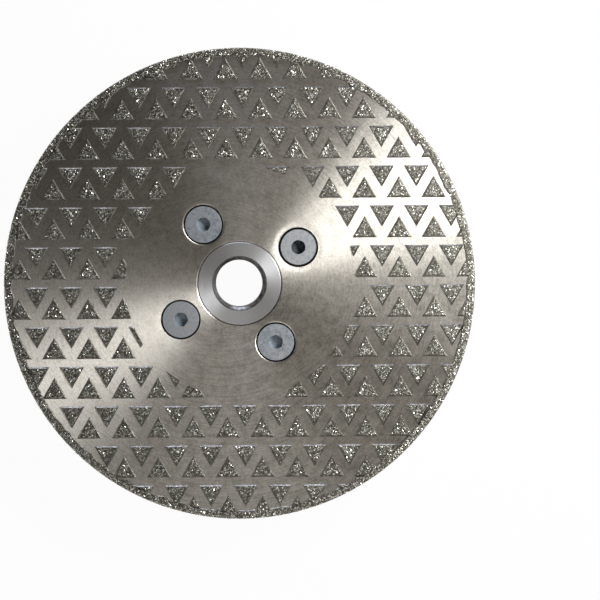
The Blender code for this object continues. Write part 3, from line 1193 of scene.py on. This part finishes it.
    def build(self) -> Object:
        """Makes the pads of one face, and marks where they hold grains.

        Returns:
            The pads.
        """
        places = self.places()
        points = bpy.data.meshes.new("places")
        points.from_pydata([(x, y, 0.0) for x, y, _ in places], [], [])
        turns = points.attributes.new("turn", "FLOAT", "POINT")
        for turn, (_, _, upright) in zip(turns.data, places):
            turn.value = 0.0 if upright else math.pi
        pads = new_object(f"plated_pads_{self.face.name.lower()}", points)
        pad, ring = self.pad(), self.ring()
        grow(pads, self.tree(), {"Pad": pad, "Ring": ring, "Finish": built(NICKEL_SHOULDER)})
        for helper in (pad, ring):
            bpy.data.objects.remove(helper, do_unlink=True)
        on_front = self.face is Face.FRONT
        surface = self.blank.front if on_front else self.blank.back
        flip = Matrix.Rotation(0.0 if on_front else math.pi, 4, "Y")
        pads.data.transform(Matrix.Translation((0.0, 0.0, surface)) @ flip)
        shade(pads.data)
        dress(pads, NICKEL_BED)
        level = surface + self.FLAT_SHARE * self.face.value * self.bed_height
        rows = np.array(places)
        holds = []
        for polygon in pads.data.polygons:
            x, y, z = polygon.center
            flat = self.face.value * (z - level) > 0
            polygon.material_index = int(flat)
            holds.append(flat and self.holds_grains(self.face.value * x, y, rows))
        mark_coated(pads.data, holds)
        show_piece(pads, "disc_blank")
        return pads


@dataclass
class RimBand:
    """Nickel band that wraps the disc's edge and carries the unbroken coat.

    Its inner edge isn't a clean circle: the plating crept under the mask there.
    """

    blank: Blank
    width: float = 2.5 * MM
    shoulder_width: float = 0.24 * MM
    grain_rise: float = 0.26 * MM  # the grains stand this far out of the band
    rounding: float = 0.4 * MM
    rounding_steps: int = 6
    sunk: float = 0.1 * MM
    clearance: float = 0.05 * MM
    creep: float = 0.5 * MM
    creep_length: float = 2.4 * MM
    ripple_height: float = 0.6  # of the creep that a finer ripple adds
    ripple_rate: float = 2.3  # how many times finer it is
    first_grains: float = 0.6  # grains start where the shoulder has risen by this share
    facets: int = 512

    CREEP_REACH = 3  # shoulder widths from the inner edge that creep moves

    def __post_init__(self) -> None:
        """Takes the band's outside from the frame."""
        self.low, self.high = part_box("diamond_rim")
        self.inner = self.high.x - self.width

    def shoulder(self, surface: float, top: float) -> list[tuple[float, float, float]]:
        """Works out the soft slope from the disc's face to the band's flat.

        Args:
            surface: height of the disc's face.
            top: height of the band's flat.

        Returns:
            The slope's corners, outwards.
        """
        points = [(self.inner, surface - math.copysign(self.sunk, top - surface), 0.0)]
        for inward, rise in PlatedPads.SHOULDER:
            reach = self.inner + inward * self.shoulder_width
            points.append((reach, surface + rise * (top - surface), 0.0))
        return points

    def stray(self, mesh: Mesh) -> None:
        """Makes the band's inner edge wander, in its own way on each face.

        Args:
            mesh: the band's mesh.
        """
        still = self.inner + self.CREEP_REACH * self.shoulder_width
        for vertex in mesh.vertices:
            radius = vertex.co.xy.length
            if radius > still:
                continue
            place = vertex.co.xy.normalized().to_3d() * self.inner
            place.z = self.creep_length if vertex.co.z > self.blank.middle else 0.0
            place /= self.creep_length
            wander = noise.noise(place) + self.ripple_height * noise.noise(place * self.ripple_rate)
            vertex.co.xy *= 1.0 + wander * self.creep / radius

    def build(self) -> Object:
        """Makes the band, and marks where it holds grains.

        Returns:
            The band.
        """
        outer = self.high.x - self.grain_rise
        top = self.high.z - self.grain_rise
        bottom = self.low.z + self.grain_rise
        groove = self.blank.radius + self.clearance
        front, middle, back = self.blank.front, self.blank.middle, self.blank.back
        outline = [
            (groove, middle, 0.0),
            (groove, front - self.sunk, 0.0),
            *self.shoulder(front, top),
            (outer, top, self.rounding),
            (outer, bottom, self.rounding),
            *reversed(self.shoulder(back, bottom)),
            (groove, back + self.sunk, 0.0),
            (groove, middle, 0.0),
        ]
        shape = bmesh.new()
        add_turned(shape, rounded(outline, self.rounding_steps), self.facets)
        band = new_solid("rim_band", shape)
        self.stray(band.data)
        dress(band, NICKEL_SHOULDER, NICKEL_BED)
        centre = Vector((0.0, 0.0, middle))
        lowest = front + (top - front) * self.first_grains
        holds = []
        for polygon in band.data.polygons:
            outside = polygon.normal.dot(polygon.center - centre) > 0
            raised = abs(polygon.center.z - middle) > lowest - middle
            at_edge = polygon.center.xy.length > groove + self.clearance
            holds.append(outside and (raised or at_edge))
            polygon.material_index = int(holds[-1])
        mark_coated(band.data, holds)
        show_piece(band, "diamond_rim")
        return band


@dataclass
class DiamondGrit:
    """Grains scattered over the coated faces of a piece, each half sunk in its nickel."""

    bearer: Object
    name: str
    half: Half
    seed: int
    node: str
    spacing: float = 0.31 * MM
    grain: float = 0.43 * MM
    smallest: float = 0.7
    largest: float = 1.25
    flat_top: float = 0.28
    tilt: float = math.radians(7.0)
    crystal_kinds: int = 9
    crystal_points: int = 18

    CRYSTAL_SEED = 11
    FLAT_ANGLE = math.radians(4.0)  # faces of a crystal that meet flatter than this are one
    TRIES = 4.0  # places tried in a square of the spacing's side

    def crystals(self) -> Collection:
        """Makes a few irregular crystals, one metre across, for the tree to pick from.

        Returns:
            A collection of them, which isn't in the scene.
        """
        kinds = bpy.data.collections.new("crystals")
        random = np.random.default_rng(self.CRYSTAL_SEED)
        for index in range(self.crystal_kinds):
            shape = bmesh.new()
            for point in random.normal(size=(self.crystal_points, 3)):
                corner = Vector(point).normalized() * 0.5
                corner.z = min(max(corner.z, -self.flat_top / 2), self.flat_top / 2)
                shape.verts.new(corner)
            hull = bmesh.ops.convex_hull(shape, input=shape.verts)
            bmesh.ops.delete(shape, geom=hull["geom_unused"], context="VERTS")
            bmesh.ops.dissolve_limit(
                shape, angle_limit=self.FLAT_ANGLE, verts=shape.verts, edges=shape.edges
            )
            mesh = bpy.data.meshes.new(f"crystal_{index}")
            shape.to_mesh(mesh)
            shape.free()
            tones = mesh.attributes.new(DIAMOND.facet_attribute, "FLOAT", "FACE")
            for facet in tones.data:
                facet.value = random.random()
            kinds.objects.link(bpy.data.objects.new(mesh.name, mesh))
        return kinds

    def tree(self) -> NodeTree:
        """Builds the tree: points spread evenly over the coated faces, a turned crystal on each.

        Returns:
            The tree.
        """
        inputs = {"Surface": "Geometry", "Crystals": "Collection", "Half": "Int", "Spacing": "Float"}
        inputs |= {"Smallest": "Float", "Largest": "Float", "Seed": "Int", "Finish": "Material"}
        tree, node = geometry_tree("diamond grit", inputs)
        given = node.outputs
        seed = {"Seed": given["Seed"]}
        coat = add_node(tree, "GeometryNodeInputNamedAttribute", {"Name": "coated"}, data_type="INT")
        halves = {"A_INT": coat.outputs["Attribute"], "B_INT": given["Half"]}
        coated = add_node(tree, "FunctionNodeCompare", halves, data_type="INT", operation="EQUAL")
        spread = {
            "Mesh": given["Surface"],
            "Selection": coated.outputs["Result"],
            "Distance Min": given["Spacing"],
            "Density Max": self.TRIES / self.spacing**2,
        }
        points = add_node(
            tree, "GeometryNodeDistributePointsOnFaces", spread | seed, distribute_method="POISSON"
        )
        whole = {"Collection": given["Crystals"], "Separate Children": True, "Reset Children": True}
        kinds = add_node(tree, "GeometryNodeCollectionInfo", whole)
        turns = {"Min": (-self.tilt, -self.tilt, 0.0), "Max": (self.tilt, self.tilt, math.tau)}
        spin = add_node(tree, "FunctionNodeRandomValue", turns | seed, data_type="FLOAT_VECTOR")
        spun = add_node(tree, "FunctionNodeEulerToRotation", {"Euler": result(spin, "Value")})
        turned = {"Rotation": points.outputs["Rotation"], "Rotate By": spun.outputs[0]}
        rotation = add_node(tree, "FunctionNodeRotateRotation", turned, rotation_space="LOCAL")
        sizes = {"Min_001": given["Smallest"], "Max_001": given["Largest"]}
        size = add_node(tree, "FunctionNodeRandomValue", sizes | seed, data_type="FLOAT")
        placed = {
            "Points": points.outputs["Points"],
            "Instance": kinds.outputs["Instances"],
            "Pick Instance": True,
            "Rotation": rotation.outputs[0],
            "Scale": result(size, "Value_001"),
        }
        grains = add_node(tree, "GeometryNodeInstanceOnPoints", placed).outputs[0]
        tone = result(add_node(tree, "FunctionNodeRandomValue", seed, data_type="FLOAT"), "Value_001")
        store = {"Geometry": grains, "Name": DIAMOND.tone_attribute, "Value": tone}
        kind = "GeometryNodeStoreNamedAttribute"
        toned = add_node(tree, kind, store, data_type="FLOAT", domain="INSTANCE")
        end_tree(tree, toned.outputs[0], given["Finish"])
        return tree

    def build(self) -> None:
        """Makes the grains."""
        grit = new_object(self.name, self.bearer.data.copy())
        kinds = self.crystals()
        inputs = {
            "Crystals": kinds,
            "Half": self.half.value,
            "Spacing": self.spacing,
            "Smallest": self.grain * self.smallest,
            "Largest": self.grain * self.largest,
            "Seed": self.seed,
            "Finish": built(DIAMOND),
        }
        grow(grit, self.tree(), inputs)
        for crystal in list(kinds.objects):
            bpy.data.objects.remove(crystal, do_unlink=True)
        bpy.data.collections.remove(kinds)
        self.true_up(grit.data)
        show_piece(grit, self.node)

    def true_up(self, mesh: Mesh) -> None:
        """Brings every point inside the coat's outer radius and its two faces.

        Args:
            mesh: the grains' mesh.
        """
        low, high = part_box("diamond_rim")
        points = np.empty(len(mesh.vertices) * 3, np.float32)
        mesh.vertices.foreach_get("co", points)
        points = points.reshape(-1, 3)
        radius = np.linalg.norm(points[:, :2], axis=1)
        points[:, :2] *= np.minimum(1.0, high.x / radius)[:, None]
        points[:, 2] = np.clip(points[:, 2], low.z, high.z)
        mesh.vertices.foreach_set("co", points.ravel())
        mesh.update()


# --- Studio ------------------------------------------------------------------
@dataclass(frozen=True)
class Softbox:
    """A lamp with a soft front, aimed at the wheel. Angles are in degrees, power in watts."""

    name: str
    azimuth: float
    elevation: float
    distance: float
    width: float
    height: float
    power: float
    colour: str

    def place(self, aim: Vector) -> None:
        """Puts the lamp in the scene.

        Args:
            aim: the point that it faces.
        """
        lamp = bpy.data.lights.new(self.name, "AREA")
        lamp.shape = "RECTANGLE"
        lamp.size, lamp.size_y = self.width, self.height
        lamp.energy = self.power
        lamp.color = linear(self.colour)[:3]
        turn, rise = math.radians(self.azimuth), math.radians(self.elevation)
        level = math.cos(rise)
        away = Vector((math.cos(turn) * level, math.sin(turn) * level, math.sin(rise)))
        made = bpy.data.objects.new(self.name, lamp)
        made.location = aim + away * self.distance
        made.rotation_euler = away.to_track_quat("Z", "Y").to_euler()
        made.visible_camera = False
        bpy.context.scene.collection.objects.link(made)


SOFTBOXES = (
    Softbox("key_softbox", 28.3, 39.5, 0.36, 0.18, 0.135, 1.36, "FFFFFF"),
    Softbox("counter_fill", 207.0, 40.0, 0.36, 0.08, 0.13, 0.12, "FFFFFF"),
    Softbox("front_softbox", 267.5, 47.0, 0.43, 0.28, 0.19, 0.165, "FFFCF8"),
    Softbox("side_fill", 7.0, 38.5, 0.147, 0.10, 0.10, 0.0265, "FFFFFF"),
    Softbox("small_fill", 344.0, 64.0, 0.105, 0.135, 0.118, 0.0138, "FFF9F0"),
    Softbox("top_softbox", 92.0, 11.5, 0.60, 0.34, 0.10, 0.62, "DDE7FF"),
)


@dataclass
class Studio:
    """White floor with a raised rim, softboxes, a graded room and the camera."""

    floor_radius: float = 2.6
    rim_height: float = 0.7
    rim_steps: int = 8
    floor_facets: int = 96
    floor_share: float = 0.96  # of the floor that is plain white to the eye
    paper: str = "F0F0F0"
    room_colour: str = "F4EEE6"
    room_bright: float = 0.02
    room_dark: float = 0.004
    bright_side: tuple[float, float, float] = (0.55, -0.6, 0.0)
    room_ends: tuple[float, float] = (-0.5, 0.6)  # how far it faces that side, dark to bright
    camera_distance: float = 0.70
    view_width: float = 158.56 * MM  # what the camera takes in across, at the grinding face
    sensor_width: float = 36.0
    clip: tuple[float, float] = (0.01, 20.0)
    camera_aside: tuple[float, float] = (-4.0 * MM, 5.0 * MM)
    camera_roll: float = math.radians(-0.45)
    shift: tuple[float, float] = (0.1007, -0.0277)

    def add_floor(self) -> None:
        """Lays a white floor that curves up at its far edge.

        Most of it is plain white to the eye. Lamps light the rest, which keeps the shadow.
        """
        outline = [(0.0, 0.0), (self.floor_radius, 0.0)]
        for step in range(1, self.rim_steps + 1):
            angle = math.pi / 2 * step / self.rim_steps
            rise = self.rim_height * (1 - math.cos(angle))
            outline.append((self.floor_radius + self.rim_height * math.sin(angle), rise))
        shape = bmesh.new()
        add_turned(shape, outline, self.floor_facets)
        for face in shape.faces:
            if face.normal.z < 0:
                face.normal_flip()
        mesh = bpy.data.meshes.new("floor")
        shape.to_mesh(mesh)
        shape.free()
        floor = new_object("floor", mesh)
        material, tree = new_material("white backdrop")
        ray = add_node(tree, "ShaderNodeLightPath").outputs
        seen = ray["Is Camera Ray"]
        for kind in ("Is Glossy Ray", "Is Transmission Ray"):
            either = {"Value": seen, "Value_001": ray[kind]}
            seen = add_node(tree, "ShaderNodeMath", either, operation="MAXIMUM").outputs[0]
        part = {"Value": seen, "Value_001": self.floor_share}
        share = add_node(tree, "ShaderNodeMath", part, operation="MULTIPLY")
        paper = add_node(tree, "ShaderNodeBsdfDiffuse", {"Color": linear(self.paper)})
        white = add_node(tree, "ShaderNodeEmission", {"Strength": 1.0})
        mixed = {"Fac": share.outputs[0], "Shader": paper.outputs[0], "Shader_001": white.outputs[0]}
        shader = add_node(tree, "ShaderNodeMixShader", mixed)
        add_node(tree, "ShaderNodeOutputMaterial", {"Surface": shader.outputs[0]})
        floor.data.materials.append(material)

    def light_room(self) -> None:
        """Lights the room: dim towards the upper left, brighter towards the lower right."""
        world = bpy.data.worlds.new("room")
        bpy.context.scene.world = world
        world.use_nodes = True
        tree = world.node_tree
        tree.nodes.clear()
        direction = add_node(tree, "ShaderNodeTexCoord").outputs["Generated"]
        sides = {"Vector": direction, "Vector_001": self.bright_side}
        lean = add_node(tree, "ShaderNodeVectorMath", sides, operation="DOT_PRODUCT")
        ends = {"From Min": self.room_ends[0], "From Max": self.room_ends[1]}
        ends |= {"To Min": self.room_dark, "To Max": self.room_bright}
        ends["Value"] = lean.outputs["Value"]
        level = add_node(tree, "ShaderNodeMapRange", ends, interpolation_type="SMOOTHSTEP")
        glow = {"Color": linear(self.room_colour), "Strength": level.outputs[0]}
        light = add_node(tree, "ShaderNodeBackground", glow)
        add_node(tree, "ShaderNodeOutputWorld", {"Surface": light.outputs[0]})

    def add_camera(self, aim: Vector) -> None:
        """Adds a long lens that looks down on the grinding face.

        Args:
            aim: the point that it stands over.
        """
        data = bpy.data.cameras.new("camera")
        data.sensor_width = self.sensor_width
        data.lens = data.sensor_width * self.camera_distance / self.view_width
        data.shift_x, data.shift_y = self.shift
        data.clip_start, data.clip_end = self.clip
        camera = bpy.data.objects.new("camera", data)
        camera.location = aim + Vector((*self.camera_aside, self.camera_distance))
        back = (camera.location - aim).normalized()
        right = Vector((0.0, 1.0, 0.0)).cross(back).normalized()
        axes = Matrix((right, back.cross(right), back)).transposed()
        camera.rotation_euler = axes.to_euler()
        camera.rotation_euler.rotate_axis("Z", self.camera_roll)
        bpy.context.scene.collection.objects.link(camera)
        bpy.context.scene.camera = camera

    def build(self, aim: Vector) -> None:
        """Sets the whole studio up.

        Args:
            aim: the point that lamps and camera are set round.
        """
        self.add_floor()
        for softbox in SOFTBOXES:
            softbox.place(aim)
        self.light_room()
        self.add_camera(aim)
        bpy.context.scene.view_settings.view_transform = "Standard"


# --- Whole wheel -------------------------------------------------------------
# Each screw as it was tightened and worn: turn in degrees, finishes of head and socket, then in
# millimetres the depths of dish and lip, the chamfer on the head and the socket's depth.
# The head finishes are a lit and a shaded copy of one plate, by where the key lamp's glow falls; the
# socket finishes are painted shade.
SCREWS = (
    (8.0, ZINC_LIT_COPY, BLACK_SOCKET_SHADE, (0.09, 0.0, 0.2, 2.2)),
    (41.0, ZINC_SHADED_COPY, ZINC_SOCKET_SHADE, (0.03, 0.12, 0.05, 1.6)),
    (22.0, ZINC_LIT_COPY, ZINC_SOCKET_SHADE, (0.03, 0.01, 0.1, 1.6)),
    (53.0, ZINC_SHADED_COPY, ZINC_SOCKET_SHADE, (0.03, 0.13, 0.05, 1.6)),
)


def main() -> None:
    """Builds the wheel's pieces in order, then the studio."""
    logging.basicConfig(level=logging.INFO, format="%(message)s")
    blank, flange = Blank(), Flange()
    screws = [
        FlangeScrew(number, turn, head, recess, *(length * MM for length in lengths))
        for number, (turn, head, recess, lengths) in enumerate(SCREWS, start=1)
    ]
    heights = (blank.front, flange.barrel_length)
    flange.build([screw.hole_cutter(blank.sink_radius, *heights) for screw in screws])
    blank.build(screws)
    for screw in screws:
        screw.build()
    for seed, face in enumerate(Face, start=PAD_SEED):
        pads = PlatedPads(face, blank).build()
        for half in Half:
            name = f"pad_grit_{face.name.lower()}_{half.name.lower()}"
            DiamondGrit(pads, name, half, seed, "disc_blank").build()
    band = RimBand(blank).build()
    for half in Half:
        DiamondGrit(band, f"rim_grit_{half.name.lower()}", half, RIM_SEED, "diamond_rim").build()
    Studio().build(Vector((0.0, 0.0, blank.front)))


if __name__ == "__main__":
    main()
